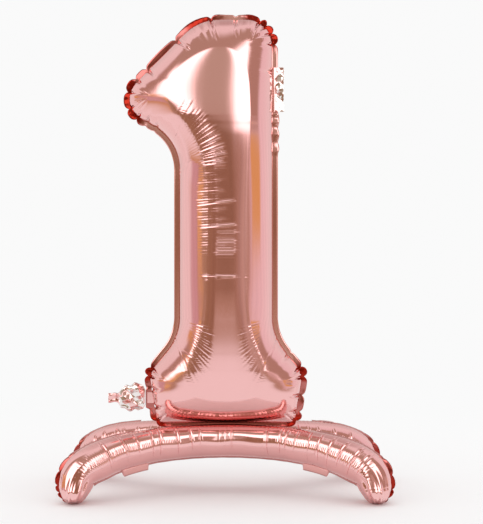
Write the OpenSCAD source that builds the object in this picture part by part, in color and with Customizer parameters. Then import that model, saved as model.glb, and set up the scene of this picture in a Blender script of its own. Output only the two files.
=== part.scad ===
// Standing foil number balloon: an inflated "1" on a base of two arched tubes.
// Millimetres. +Z is up, -Y is the front, and the origin is on the floor under the middle.

/* [Film] */
// Thickness that each film is drawn at
film_t = 0.6; // [0.4:0.05:1]
// Width of the flat heat-sealed margin round each inflated part
margin_w = 10; // [6:0.5:14]

/* [Number] */
// Height of the sealed edge at the top of the number above the floor
total_h = 800; // [720:1:960]
// Inflated width of the upright stem
stem_w = 158; // [130:1:190]
// Widest inflated width of the foot
foot_w = 260; // [215:1:312]
// Inflated width along the bottom edge of the foot
foot_base_w = 233; // [190:1:280]
// Height from the bottom edge to the widest place of the foot
foot_wide_z = 84; // [65:1:100]
// Height from the bottom edge to where the foot meets the stem
foot_neck_z = 146; // [120:1:175]
// Reach of the flag's tip from the middle of the stem
flag_reach = 163; // [140:1:195]
// Drop from the top edge to the upper corner of the flag's tip
flag_drop = 117; // [97:1:130]
// Height of the flag's blunt tip
flag_tip_h = 40; // [40:1:48]
// Drop from the top edge to where the flag's underside meets the stem
flag_root_drop = 203; // [190:1:230]

/* [Base] */
// Distance between the middles of the two feet of one leg
leg_span = 466; // [390:1:560]
// Height of the legs' middle line above the floor at the centre
leg_rise = 87; // [72:1:105]
// Inflated diameter of a leg at its centre
leg_d = 53; // [44:0.5:64]
// Inflated diameter of a leg at its feet
foot_d = 64; // [53:0.5:77]
// Distance from the mid plane to the middle of a foot
leg_spread = 118; // [98:1:142]
// How far each foot is pressed flat by standing on the floor
foot_press = 3; // [2:0.25:5]
// How far each leg is pressed flat against the weld
leg_press = 2.5; // [2:0.1:4]

/* [Joint between number and base] */
// Length of the weld that joins the two legs
tie_w = 60; // [40:1:80]
// Height of the weld above the legs' middle line
tie_up = 13; // [11:0.5:16]
// Free height left between the number's underside and the legs
seat_gap = 2.5; // [1.5:0.1:4]
// Radius that the number's underside is rounded to where it sits between the legs
seat_r = 66; // [55:1:80]
// Width of the strip that hangs the number on the weld
hang_w = 150; // [100:1:190]
// Least length of the strip that hangs the number on the weld
hang_len = 2.5; // [2:0.1:5]
// Radius of the port that lets air from one leg to the other
port_r = 4; // [3:0.25:5]

/* [Filling necks] */
// Length of the number's filling neck
neck_len = 72; // [60:1:86]
// Width of the neck where it leaves the margin
neck_root_w = 26; // [22:1:30]
// Width of the neck at its widest
neck_w = 40; // [34:1:46]
// Width of the neck at its mouth
neck_mouth_w = 26; // [22:1:30]
// Free height inside the mouth
mouth_gap = 6; // [5:0.5:8]
// Height of the neck's middle above the number's bottom edge
neck_z = 42; // [36:1:50]
// Width of the sealed edges of a neck and of a valve
edge_seal = 3; // [2:0.25:4]
// Length of the base's filling neck, which lies over the back of the rear leg
base_neck_len = 56; // [46:1:66]
// Sideways place of the base's filling neck
base_neck_x = 172; // [160:1:185]
// Length of the number's valve sleeve
valve_len = 62; // [45:1:75]
// Length of the base's valve sleeve
base_valve_len = 40; // [33:0.5:44]
// Width of a valve sleeve
valve_w = 18; // [14:0.5:20]

/* [Hanging tab] */
// Height of the folded tab along the margin
tab_h = 75; // [62:1:90]
// Width of the folded tab
tab_w = 18; // [14:0.5:22]
// Drop from the top edge to the middle of the tab
tab_drop = 128; // [105:1:155]
// Radius of the ribbon hole
ribbon_r = 2; // [1.5:0.1:2.5]
// Free space between the folded tab and the margin
tab_gap = 2; // [1:0.1:3]

/* [Hidden] */

foil = [0.93, 0.69, 0.68];
silver = [0.86, 0.85, 0.85];
clear = [0.80, 0.88, 0.92];

clearance = 0.3;
flap_gap = 1.2;
leg_r = leg_d / 2;
foot_r = foot_d / 2;
tie_t = 2 * film_t;

// The number hangs just above the two legs, clear of them by seat_gap.
leg_y = leg_r + tie_t / 2 - leg_press;
seat_rise = sqrt(pow(seat_r + leg_r + seat_gap, 2) - pow(leg_y, 2)) - seat_r;
hinge_z = leg_rise + tie_up;
number_z = max(leg_rise + seat_rise, hinge_z + clearance + hang_len + margin_w);
top_z = total_h - margin_w;

// ---------------------------------------------------------------- outline helpers

// Arc of radius r that rounds the corner b between the edges from a and towards c.
function corner(a, b, c, r, steps = 7) =
    let (
        u = (a - b) / norm(a - b),
        v = (c - b) / norm(c - b),
        half = acos(u * v) / 2,
        reach = r / tan(half),
        centre = b + (u + v) / norm(u + v) * r / sin(half),
        p = b + u * reach - centre,
        q = b + v * reach - centre,
        sweep = 180 - 2 * half,
        turn = sign(p[0] * q[1] - p[1] * q[0])
    )
    [for (i = [0:steps]) let (t = turn * sweep * i / steps)
        centre + [p[0] * cos(t) - p[1] * sin(t), p[0] * sin(t) + p[1] * cos(t)]];

// Corners of a chain, each [x, z, r], rounded; the first and last are ends.
function rounded(chain) = [
    for (i = [1:len(chain) - 2])
        each corner([chain[i - 1][0], chain[i - 1][1]], [chain[i][0], chain[i][1]],
            [chain[i + 1][0], chain[i + 1][1]], chain[i][2])
];

// Both sides of the number from its bottom edge up to its top edge.
stem_x = stem_w / 2;
right_side = rounded([
    [0, number_z, 0],
    [foot_base_w / 2, number_z, 12],
    [foot_w / 2, number_z + foot_wide_z, 27],
    [stem_x, number_z + foot_neck_z, 90],
    [stem_x, top_z, 44],
    [0, top_z, 0]
]);
flag_low_z = top_z - flag_drop - flag_tip_h;
left_side = rounded([
    [0, number_z, 0],
    [-foot_base_w / 2, number_z, 12],
    [-foot_w / 2, number_z + foot_wide_z, 27],
    [-stem_x, number_z + foot_neck_z, 90],
    [-stem_x, top_z - flag_root_drop, 84],
    [-flag_reach, flag_low_z, 37],
    [-flag_reach, flag_low_z + flag_tip_h, 37],
    [-flag_reach + flag_drop, top_z, 83],
    [0, top_z, 0]
]);
function side_x(side, z) = lookup(z, [for (p = side) [p[1], p[0]]]);
number_outline = concat(right_side, [for (i = [len(left_side) - 1:-1:0]) left_side[i]]);

// ---------------------------------------------------------------- inflated depth

// Distances from p to the outline along d and against it, multiplied.
function chord_product(p, d, outline) =
    let (
        n = len(outline),
        hits = [for (i = [0:n - 1])
            let (
                a = outline[i] - p,
                b = outline[(i + 1) % n] - p,
                ca = d[0] * a[1] - d[1] * a[0],
                cb = d[0] * b[1] - d[1] * b[0]
            )
            if ((ca <= 0) != (cb <= 0)) d * (a + (b - a) * ca / (ca - cb))],
        ahead = [for (t = hits) if (t >= 0) t],
        behind = [for (t = hits) if (t < 0) -t]
    )
    len(ahead) == 0 || len(behind) == 0 ? 0 : min(ahead) * min(behind);

// Half depth of an inflated outline at p: exact for a long tube and for an ellipse.
function half_depth(p, outline, rays = 10) =
    let (
        products = [for (i = [0:rays - 1]) let (a = 180 * (i + 0.5) / rays)
            chord_product(p, [cos(a), sin(a)], outline)]
    )
    min(products) < 0.01 ? 0 : sqrt(rays / (2 * [for (q = products) 1 / q] * [for (q = products) 1]));

// ---------------------------------------------------------------- film shells

function area2(a, b, c) = norm(cross(b - a, c - a));

// Closed sheet between two grids of points, outer and inner, of the same rows and columns.
module sheet(outer, inner) {
    rows = len(outer);
    cols = len(outer[0]);
    points = concat([for (r = outer) each r], [for (r = inner) each r]);
    skin = rows * cols;
    quads = concat(
        [for (i = [0:rows - 2], j = [0:cols - 2])
            [i * cols + j, i * cols + j + 1, (i + 1) * cols + j + 1, (i + 1) * cols + j]],
        [for (i = [0:rows - 2], j = [0:cols - 2])
            [skin + i * cols + j, skin + (i + 1) * cols + j,
                skin + (i + 1) * cols + j + 1, skin + i * cols + j + 1]],
        [for (i = [0:rows - 2]) [i * cols, (i + 1) * cols, skin + (i + 1) * cols, skin + i * cols]],
        [for (i = [0:rows - 2]) let (e = cols - 1)
            [(i + 1) * cols + e, i * cols + e, skin + i * cols + e, skin + (i + 1) * cols + e]],
        [for (j = [0:cols - 2]) [j + 1, j, skin + j, skin + j + 1]],
        [for (j = [0:cols - 2]) let (e = (rows - 1) * cols)
            [e + j, e + j + 1, skin + e + j + 1, skin + e + j]]
    );
    faces = [for (q = quads) each [[q[0], q[1], q[2]], [q[0], q[2], q[3]]]];
    polyhedron(points, [for (f = faces)
        if (area2(points[f[0]], points[f[1]], points[f[2]]) > 0.0001) [f[0], f[2], f[1]]]);
}

// ---------------------------------------------------------------- number

// Rows are close together at the bottom and top edges, where the film turns in fast.
edge_zone = 40;
function row_heights(low, high, step = 12) =
    let (middle = high - low - 2 * edge_zone, n = ceil(middle / step))
    concat(
        [for (a = [0:11.25:90]) low + edge_zone * (1 - cos(a))],
        [for (i = [1:n - 1]) low + edge_zone + middle * i / n],
        [for (a = [90:-11.25:0]) high - edge_zone * (1 - cos(a))]
    );

// The films part here by this much, where the valve passes between them.
slit = 2;
neck_mid_z = number_z + neck_z;
function slit_at(z) = abs(z - neck_mid_z) < valve_w / 2 + 2 ? slit / 2 : 0;

module number_film(front) {
    cols = 17;
    heights = row_heights(number_z, top_z);
    shares = [for (j = [0:cols - 1]) (1 - cos(180 * j / (cols - 1))) / 2];
    last = len(heights) - 1;
    face = front ? -1 : 1;
    depths = [for (k = [0:last]) let (
            z = heights[k],
            xl = side_x(left_side, z),
            xr = side_x(right_side, z)
        ) [for (s = shares)
            k == 0 || k == last || s == 0 || s > 0.9999 ? 0 : half_depth([xl + (xr - xl) * s, z], number_outline)]];
    outer = [for (k = [0:last]) let (
            z = heights[k],
            xl = side_x(left_side, z),
            xr = side_x(right_side, z)
        ) [for (j = [0:cols - 1])
            [xl + (xr - xl) * shares[j], face * (depths[k][j] + slit_at(z) * max(0, 1 - 8 * shares[j])), z]]];
    inner = [for (k = [0:last]) let (
            z = heights[k],
            xl = side_x(left_side, z) + film_t,
            xr = side_x(right_side, z) - film_t,
            zi = number_z + film_t + (z - number_z) * (1 - 2 * film_t / (top_z - number_z)),
            deepest = max(depths[k]),
            keep = deepest > film_t ? 1 - film_t / deepest : 0
        ) [for (j = [0:cols - 1])
            [xl + (xr - xl) * shares[j],
                face * (depths[k][j] * keep + slit_at(z) * max(0, 1 - 8 * shares[j])), zi]]];
    color(foil) if (front) sheet(outer, inner); else mirror_sheet(outer, inner);
}

// The same sheet for a film whose grid is seen from the other side.
module mirror_sheet(outer, inner) {
    sheet([for (r = outer) [for (j = [len(r) - 1:-1:0]) r[j]]],
        [for (r = inner) [for (j = [len(r) - 1:-1:0]) r[j]]]);
}

module upright(t) {
    translate([0, t / 2, 0]) rotate([90, 0, 0]) linear_extrude(t) children();
}

module number_seal_margin() {
    neck_gap = valve_w + 2 * clearance + 4;
    color(foil) upright(2 * film_t) difference() {
        offset(r = margin_w) polygon(number_outline);
        polygon(number_outline);
        translate([-foot_w / 2 - margin_w, neck_mid_z - neck_gap / 2]) square([foot_w / 2, neck_gap]);
    }
}

module number_hanger_strip() {
    top = number_z - margin_w;
    color(foil) upright(2 * film_t)
        translate([-hang_w / 2, hinge_z + clearance]) square([hang_w, top - hinge_z - clearance]);
}

// ---------------------------------------------------------------- valves

// One film of a self-sealing sleeve, lying in XZ from x = 0, open at both ends.
valve_t = 0.5;
valve_channel = 0.15;
module valve_film(front) {
    face = front ? -1 : 1;
    color(clear) difference() {
        translate([0, face * valve_t / 2, 0]) cube_about([valve_len, valve_t, valve_w]);
        translate([-1, face * valve_channel / 2 - face * 0.001, 0])
            cube_about([valve_len + 2, valve_channel, valve_w - 2 * edge_seal]);
    }
}

module cube_about(size) {
    translate([0, -size[1] / 2, -size[2] / 2]) cube(size);
}

module number_valve(front) {
    x = side_x(left_side, neck_mid_z) - margin_w + 1;
    translate([x, 0, neck_mid_z]) valve_film(front);
}

// ---------------------------------------------------------------- filling necks

// Film of a neck that lies along -X from its root, bowed away from its middle plane.
module neck_film(length, root_w, wide_w, mouth_w, bow, front) {
    face = front ? -1 : 1;
    steps = 10;
    cols = 11;
    function width_at(s) = lookup(s, [[0, root_w], [0.35, wide_w], [0.7, wide_w * 0.92], [1, mouth_w]]);
    function bow_at(s) = lookup(s, [[0, 0.3], [0.2, 0.75 * bow], [0.45, bow], [0.7, 0.8 * bow], [0.8, mouth_gap / 2], [1, mouth_gap / 2]]);
    function rise(s, across, w) =
        let (open = w / 2 - edge_seal, d = abs(across) / open)
        d >= 1 ? 0 : bow_at(s) * sqrt(1 - pow(d, 4));
    function grid(t) = [for (i = [0:steps]) let (s = i / steps, w = width_at(s), open = w / 2 - edge_seal)
        [for (j = [0:cols - 1]) let (
                q = -cos(180 * (j - 1) / (cols - 3)),
                across = j == 0 ? -w / 2 : j == cols - 1 ? w / 2 : open * q
            ) [-length * s, face * (rise(s, across, w) + t), across]]];
    if (front) sheet(grid(film_t), grid(0)); else mirror_sheet(grid(film_t), grid(0));
}

neck_x = side_x(left_side, neck_mid_z + neck_root_w / 2) - margin_w * 1.02 - flap_gap;
module neck(front) {
    color(foil) translate([neck_x, 0, neck_mid_z])
        neck_film(neck_len, neck_root_w, neck_w, neck_mouth_w, 8, front);
}

// ---------------------------------------------------------------- legs

// Middle line of the front leg: flat over its centre, then turning down to each foot.
leg_stations = 30;
arch_power = 2.5;
foot_z = foot_r - foot_press;
splay_power = 1.7;
function spread_at(x) = leg_y + (leg_spread - leg_y) * pow(abs(x) / (leg_span / 2), splay_power);
function arch_z(x) =
    foot_z + (leg_rise - foot_z) * pow(max(0, 1 - pow(abs(x) / (leg_span / 2), arch_power)), 1 / arch_power);
function station_x(i) = leg_span / 2 * sin(90 * (2 * i / leg_stations - 1));
function leg_point(i) = let (x = station_x(i)) [x, -spread_at(x), arch_z(x)];
function leg_radius(i) = leg_r + (foot_r - leg_r) * pow(abs(station_x(i)) / (leg_span / 2), 3);
function leg_tangent(i) =
    i == 0 ? [0, 0, 1] : i == leg_stations ? [0, 0, -1] :
    let (d = leg_point(i + 1) - leg_point(i - 1)) d / norm(d);
function forward_at(i) =
    let (t = leg_tangent(i), f = [0, -1, 0] - t * (t * [0, -1, 0])) f / norm(f);
function outward_at(i) = cross(forward_at(i), leg_tangent(i));

// Stations with their centre, radius, tangent: the round ends add a few to each foot.
cap_steps = [80, 65, 45, 22];
function section(i, shrink) = [leg_point(i), leg_radius(i) - shrink, outward_at(i), forward_at(i)];
function cap(i, way, a, shrink) =
    let (r = leg_radius(i) - shrink)
    [leg_point(i) + way * leg_tangent(i) * r * sin(a), r * cos(a), outward_at(i), forward_at(i)];
function leg_sections(shrink) = concat(
    [cap(0, -1, 90, shrink)],
    [for (a = cap_steps) cap(0, -1, a, shrink)],
    [for (i = [0:leg_stations]) section(i, shrink)],
    [for (k = [len(cap_steps) - 1:-1:0]) cap(leg_stations, 1, cap_steps[k], shrink)],
    [cap(leg_stations, 1, 90, shrink)]
);

// A film of the front leg: half a tube, pressed flat on the floor and against the tie weld.
module front_leg_film(front) {
    cols = 9;
    function place(s, a, wall) =
        let (p = s[0] + s[1] * (cos(a) * s[2] + sin(a) * s[3] * (front ? 1 : -1)))
        [p[0], min(p[1], -tie_t / 2 - wall), max(p[2], wall)];
    function grid(shrink) = [for (s = leg_sections(shrink))
        [for (j = [0:cols - 1]) place(s, 180 * j / (cols - 1), shrink)]];
    color(foil) difference() {
        if (front) sheet(grid(0), grid(film_t)); else mirror_sheet(grid(0), grid(film_t));
        if (!front) leg_port();
    }
}

// The upper and the lower stretch of a leg's sealed margin; the stretch under each foot is left out.
module front_leg_margin_stretch(sections, side) {
    points = [for (s = sections) each [
        s[0] + side * s[2] * (s[1] + 0.02) + s[3] * film_t,
        s[0] + side * s[2] * (s[1] + margin_w) + s[3] * film_t,
        s[0] + side * s[2] * (s[1] + margin_w) - s[3] * film_t,
        s[0] + side * s[2] * (s[1] + 0.02) - s[3] * film_t
    ]];
    n = len(sections);
    quads = concat(
        [for (i = [0:n - 2], j = [0:3]) let (k = (j + 1) % 4) [4 * i + j, 4 * i + 4 + j, 4 * i + 4 + k, 4 * i + k]],
        [[0, 1, 2, 3], [4 * n - 1, 4 * n - 2, 4 * n - 3, 4 * n - 4]]
    );
    tris = [for (q = quads) each [[q[0], q[1], q[2]], [q[0], q[2], q[3]]]];
    polyhedron(points, [for (f = tris) side > 0 ? [f[0], f[2], f[1]] : f]);
}

// Under the number the upper stretch is trimmed off, so it runs from beside the number to each foot.
bare_x = foot_w / 2 + margin_w + 4;
module front_leg_seal_margin() {
    left = [for (i = [0:leg_stations]) if (station_x(i) < -bare_x) section(i, 0)];
    right = [for (i = [0:leg_stations]) if (station_x(i) > bare_x) section(i, 0)];
    color(foil) {
        front_leg_margin_stretch([for (i = [0:leg_stations]) section(i, 0)], -1);
        front_leg_margin_stretch(left, 1);
        front_leg_margin_stretch(right, 1);
    }
}

module rear() {
    rotate([0, 0, 180]) children();
}

module leg_port() {
    rotate([90, 0, 0]) translate([0, leg_rise, 0]) cylinder(r = port_r, h = 12, center = true, $fn = 48);
}

module leg_tie_weld() {
    color(foil) difference() {
        upright(tie_t) translate([-tie_w / 2, leg_rise - tie_up]) square([tie_w, 2 * tie_up]);
        leg_port();
    }
}

// ---------------------------------------------------------------- base filling neck

// Centre, radius and frame of the front leg's section at any place along it.
function section_at(x) =
    let (
        e = 0.5,
        p = [x, -spread_at(x), arch_z(x)],
        d = [2 * e, -spread_at(x + e) + spread_at(x - e), arch_z(x + e) - arch_z(x - e)],
        t = d / norm(d),
        f0 = [0, -1, 0] - t * (t * [0, -1, 0]),
        f = f0 / norm(f0)
    )
    [p, leg_r + (foot_r - leg_r) * pow(abs(x) / (leg_span / 2), 3), cross(f, t), f];

// One film of the base's neck, as it would lie on the front leg before rear() turns it.
margin_at = 2;
module base_neck_film(upper) {
    steps = 10;
    cols = 9;
    lie = clearance + 0.2;
    function width_at(s) = lookup(s, [[0, neck_root_w], [0.35, neck_w], [0.7, neck_w * 0.92], [1, neck_mouth_w]]);
    function bow_at(s) = lookup(s, [[0, 0.5], [0.3, 4], [0.7, 4], [0.8, mouth_gap / 2], [1, mouth_gap / 2]]);
    function place(s, across, up) =
        let (
            q = section_at(-base_neck_x + across),
            r = q[1] + lie + up,
            a = (margin_at + base_neck_len * s) / (leg_r + 2) * 180 / PI
        ) q[0] + r * (cos(a) * q[2] + sin(a) * q[3]);
    function grid(t) = [for (i = [0:steps]) let (s = i / steps, w = width_at(s), open = w / 2 - edge_seal)
        [for (j = [0:cols - 1]) let (
                k = -cos(180 * (j - 1) / (cols - 3)),
                across = j == 0 ? -w / 2 : j == cols - 1 ? w / 2 : open * k,
                edge = j < 2 || j > cols - 3,
                lift = upper && !edge ? bow_at(s) * sqrt(1 - pow(k, 4)) : 0
            ) place(s, across, (upper ? film_t + lift : 0) + t)]];
    color(foil) mirror_sheet(grid(film_t), grid(0));
}

// One film of the base's valve, hanging inside the leg under its upper seam.
module base_valve_film(front) {
    q = section_at(-base_neck_x);
    side = front ? 1 : -1;
    drop = q[1] - film_t - 1;
    w = cross(q[2], q[3]);
    frame = [
        [q[2][0], q[3][0], w[0], q[0][0]],
        [q[2][1], q[3][1], w[1], q[0][1]],
        [q[2][2], q[3][2], w[2], q[0][2]]
    ];
    color(clear) multmatrix(frame) translate([drop, 0, 0]) rotate([0, 0, 180]) difference() {
        translate([0, -side * valve_t / 2, 0]) cube_about([base_valve_len, valve_t, valve_w]);
        translate([-1, -side * valve_channel / 2 + side * 0.001, 0])
            cube_about([base_valve_len + 2, valve_channel, valve_w - 2 * edge_seal]);
    }
}

// ---------------------------------------------------------------- hanging tab

module hanging_tab() {
    x = stem_x + clearance;
    z = total_h - tab_drop;
    y = -film_t - tab_gap;
    color(silver) translate([x, y, z]) difference() {
        rotate([90, 0, 0]) linear_extrude(film_t) translate([0, -tab_h / 2]) square([tab_w, tab_h]);
        rotate([90, 0, 0]) translate([tab_w / 2, tab_h / 4, -1]) cylinder(r = ribbon_r, h = 3, $fn = 48);
    }
}

number_film(true);  // number_front_film
number_film(false);  // number_rear_film
number_seal_margin();
number_hanger_strip();
number_valve(true);  // number_valve_front_film
number_valve(false);  // number_valve_rear_film
hanging_tab();
neck(true);  // neck_front_film
neck(false);  // neck_rear_film
front_leg_film(true);  // front_leg_front_film
front_leg_film(false);  // front_leg_rear_film
front_leg_seal_margin();
rear() front_leg_film(false);  // rear_leg_front_film
rear() front_leg_film(true);  // rear_leg_rear_film
rear() front_leg_seal_margin();  // rear_leg_seal_margin
leg_tie_weld();
rear() base_neck_film(true);  // base_neck_upper_film
rear() base_neck_film(false);  // base_neck_lower_film
rear() base_valve_film(false);  // base_valve_front_film
rear() base_valve_film(true);  // base_valve_rear_film
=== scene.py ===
import math
import bpy
import numpy as np
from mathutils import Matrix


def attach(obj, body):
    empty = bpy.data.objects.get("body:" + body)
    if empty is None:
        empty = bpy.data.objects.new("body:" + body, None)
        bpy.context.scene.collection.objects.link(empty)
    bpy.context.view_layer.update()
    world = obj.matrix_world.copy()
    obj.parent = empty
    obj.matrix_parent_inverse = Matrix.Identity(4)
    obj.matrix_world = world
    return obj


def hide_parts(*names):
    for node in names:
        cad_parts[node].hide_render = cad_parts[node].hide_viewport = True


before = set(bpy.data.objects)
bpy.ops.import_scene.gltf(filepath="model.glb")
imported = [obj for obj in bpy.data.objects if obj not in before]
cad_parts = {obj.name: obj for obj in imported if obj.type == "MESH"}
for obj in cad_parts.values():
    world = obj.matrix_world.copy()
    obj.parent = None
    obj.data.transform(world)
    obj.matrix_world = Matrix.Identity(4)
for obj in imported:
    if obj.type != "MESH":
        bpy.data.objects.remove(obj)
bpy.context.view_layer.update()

# Number: two mirror-bright rose films cut to the outline of a "1" and heat-sealed all round,
# then filled with air. The films cannot stretch, so the slack gathers in fine pleats at the
# inner corners, in puckers round the outer ones, and in ripples across the stem.
film_margin = 10.0
stem_half = 79.0
number_low = 112.8
number_high = 790.0
foot_bottom_half = 116.5
foot_wide_half = 130.0
foot_wide_up = 84.0
foot_neck_up = 146.0
flag_reach = 163.0


def rounded_chain(chain, steps=24):
    """Corners of a chain (x, z, radius), each replaced by the arc that touches both its edges."""
    points = []
    for (ax, az, _), (bx, bz, r), (cx, cz, _) in zip(chain, chain[1:], chain[2:]):
        a, b, c = np.array([ax, az]), np.array([bx, bz]), np.array([cx, cz])
        u = (a - b) / np.linalg.norm(a - b)
        v = (c - b) / np.linalg.norm(c - b)
        half = math.acos(float(u @ v)) / 2
        centre = b + (u + v) / np.linalg.norm(u + v) * r / math.sin(half)
        p = b + u * r / math.tan(half) - centre
        q = b + v * r / math.tan(half) - centre
        turn = np.sign(p[0] * q[1] - p[1] * q[0]) * (math.pi - 2 * half)
        t = turn * np.linspace(0, 1, steps)
        points.append(centre + np.stack([p[0] * np.cos(t) - p[1] * np.sin(t),
                                         p[0] * np.sin(t) + p[1] * np.cos(t)], 1))
    return np.concatenate(points)


flag_low = number_high - 157.0
right_edge = rounded_chain([
    (0, number_low, 0), (foot_bottom_half, number_low, 12),
    (foot_wide_half, number_low + foot_wide_up, 27), (stem_half, number_low + foot_neck_up, 90),
    (stem_half, number_high, 44), (0, number_high, 0)])
left_edge = rounded_chain([
    (0, number_low, 0), (-foot_bottom_half, number_low, 12),
    (-foot_wide_half, number_low + foot_wide_up, 27), (-stem_half, number_low + foot_neck_up, 90),
    (-stem_half, number_high - 203, 84), (-flag_reach, flag_low, 37), (-flag_reach, flag_low + 40, 37),
    (-flag_reach + 117, number_high, 83), (0, number_high, 0)])


def evenly(points, spacing):
    """The same closed polyline walked in equal steps of about the spacing."""
    p = np.concatenate([points, points[:1]])
    length = np.concatenate([[0], np.cumsum(np.linalg.norm(np.diff(p, axis=0), axis=1))])
    at = np.linspace(0, length[-1], int(length[-1] / spacing) + 1)
    return np.stack([np.interp(at, length, p[:, k]) for k in range(p.shape[1])], 1)


number_rim = evenly(np.concatenate([right_edge, left_edge[::-1]]), 1.0)[:-1]
rim_step = np.linalg.norm(number_rim[1] - number_rim[0])
rim_ahead = np.roll(number_rim, -3, 0) - np.roll(number_rim, 3, 0)
rim_ahead /= np.linalg.norm(rim_ahead, axis=1)[:, None]
rim_out = np.stack([rim_ahead[:, 1], -rim_ahead[:, 0]], 1)
rim_turn = np.roll(rim_ahead, -8, 0) - np.roll(rim_ahead, 8, 0)
rim_bend = -(rim_turn * rim_out).sum(1) / 16
rim_convex = np.tile(np.clip(rim_bend * 60, 0, 1), 3)
rim_convex = np.clip(np.convolve(rim_convex, np.hanning(41) / 20, "same"), 0, 1)
rim_convex = rim_convex[len(number_rim):2 * len(number_rim)]


def smooth(low, high, x):
    """0 below low, 1 above high, and the cubic between them."""
    t = np.clip((x - low) / (high - low), 0, 1)
    return t * t * (3 - 2 * t)


def bell(low, high, fade, x):
    """1 between low and high, falling to 0 over the fade on either side."""
    return smooth(low - fade, low, x) * (1 - smooth(high, high + fade, x))


def air_depth(x, z, rim, rays=72):
    """Half depth of an inflated outline: over all directions in the plane, the mean of
    1 / (distance to the rim ahead x distance to the rim behind), halved and inverted, then
    its square root. A long strip becomes a round tube and an ellipse an ellipsoid."""
    total = np.zeros(x.shape)
    edge = rim[::4]
    ahead = np.roll(edge, -1, 0)
    for k in range(rays):
        a = math.pi * (k + 0.5) / rays
        cx, cz = math.cos(a), math.sin(a)
        across_a = cx * edge[:, 1] - cz * edge[:, 0]
        across_b = cx * ahead[:, 1] - cz * ahead[:, 0]
        along_a = cx * edge[:, 0] + cz * edge[:, 1]
        along_b = cx * ahead[:, 0] + cz * ahead[:, 1]
        off = (cx * z - cz * x)[..., None]
        mid = (cx * x + cz * z)[..., None]
        crossing = (across_a > off) != (across_b > off)
        gap = np.where(crossing, across_b - across_a, 1.0)
        hit = along_a + (along_b - along_a) * (off - across_a) / gap - mid
        fore = np.where(crossing & (hit >= 0), hit, 1e9).min(-1)
        aft = np.where(crossing & (hit < 0), -hit, 1e9).min(-1)
        inside = (fore < 1e8) & (aft < 1e8)
        total += 1 / np.maximum(np.where(inside, fore * aft, 0), 1e-3)
    return np.sqrt(rays / (2 * total))


def blurred(field, down, across):
    """The field averaged with its neighbours, 1 2 1, so many times down and so many across."""
    for axis, times in ((0, down), (1, across)):
        for _ in range(times):
            pad = np.pad(field, [(1, 1) if axis == k else (0, 0) for k in (0, 1)], "edge")
            ahead = np.take(pad, range(2, pad.shape[axis]), axis)
            behind = np.take(pad, range(pad.shape[axis] - 2), axis)
            field = (ahead + behind + 2 * field) / 4
    return field


def between(field, down, across):
    """The field read between its own rows and columns, at fractional places."""
    down = np.clip(down, 0, field.shape[0] - 1.001)
    across = np.clip(across, 0, field.shape[1] - 1.001)
    i, j = down.astype(int), across.astype(int)
    f, g = (down - i)[:, None], (across - j)[None, :]
    upper = field[i][:, j] * (1 - g) + field[i][:, j + 1] * g
    lower = field[i + 1][:, j] * (1 - g) + field[i + 1][:, j + 1] * g
    return upper * (1 - f) + lower * f


def nearest_rim(x, z):
    """Index of the nearest point of the rim, and the distance to it."""
    near = np.zeros(x.shape, int)
    away = np.zeros(x.shape)
    for rows in np.array_split(np.arange(x.shape[0]), 40):
        d = (x[rows][..., None] - number_rim[:, 0]) ** 2 + (z[rows][..., None] - number_rim[:, 1]) ** 2
        near[rows] = d.argmin(-1)
        away[rows] = np.sqrt(d.min(-1))
    return near, away


def fan(x, z, centre, low, high, pitch, inner, outer, height, ragged=5.0, edge=6.0):
    """Radial pleats about a centre: the height times the half sine of the angle over the pitch,
    between two angles and between two radii, each given where the fan begins and where it ends,
    with ragged ends and a slightly uneven pitch."""
    rho = np.hypot(x - centre[0], z - centre[1])
    a = np.degrees(np.arctan2(z - centre[1], x - centre[0]))
    u = a / pitch + 0.22 * np.sin(a * 0.37 + 1.0) + 0.15 * np.sin(a * 0.83)
    k = np.floor(u)
    share = smooth(low, high, a)
    end = outer[0] + (outer[1] - outer[0]) * share
    end = end + ragged * np.sin(k * 2.4) + 0.5 * ragged * np.sin(k * 5.1)
    start = inner[0] + (inner[1] - inner[0]) * share + ragged * np.sin(k * 1.7)
    window = smooth(start - edge, start + edge, rho) * (1 - smooth(end - edge, end + edge, rho))
    window *= smooth(low - 2, low + 2, a) * (1 - smooth(high - 2, high + 2, a))
    size = 0.75 + 0.35 * np.sin(k * 3.3 + 0.7)
    return height * size * window * (np.abs(np.sin(math.pi * u)) ** 0.8 - 0.6)


def ripples(x, z, left, right, low, high, pitch, height, lean=0.0):
    """Level pleats: the height times the half sine of the height above the floor over the pitch."""
    zz = z - lean * x
    u = zz / pitch + 0.35 * np.sin(zz * 0.071) + 0.12 * np.sin(zz * 0.23 + x * 0.02)
    k = np.floor(u)
    l = left + 5 * np.sin(k * 2.1)
    r = right + 9 * np.sin(k * 1.3) + 5 * np.sin(k * 4.7)
    window = smooth(l - 5, l + 5, x) * (1 - smooth(r - 9, r + 9, x))
    window *= smooth(low - 6, low + 6, z) * (1 - smooth(high - 6, high + 6, z))
    size = 0.7 + 0.45 * np.sin(k * 1.9)
    return height * size * window * (np.abs(np.sin(math.pi * u)) - 0.6)


def crease(x, z, start, end, width, depth):
    """A straight fold from start to end: a narrow valley with a low ridge on each side."""
    sx, sz = start
    ex, ez = end
    length = math.hypot(ex - sx, ez - sz)
    ux, uz = (ex - sx) / length, (ez - sz) / length
    along = ((x - sx) * ux + (z - sz) * uz) / length
    off = ((x - sx) * -uz + (z - sz) * ux) / width
    window = smooth(-0.05, 0.12, along) * (1 - smooth(0.7, 1.05, along))
    return depth * window * (-np.exp(-off * off) + 0.45 * np.exp(-(np.abs(off) - 1.9) ** 2))


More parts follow.
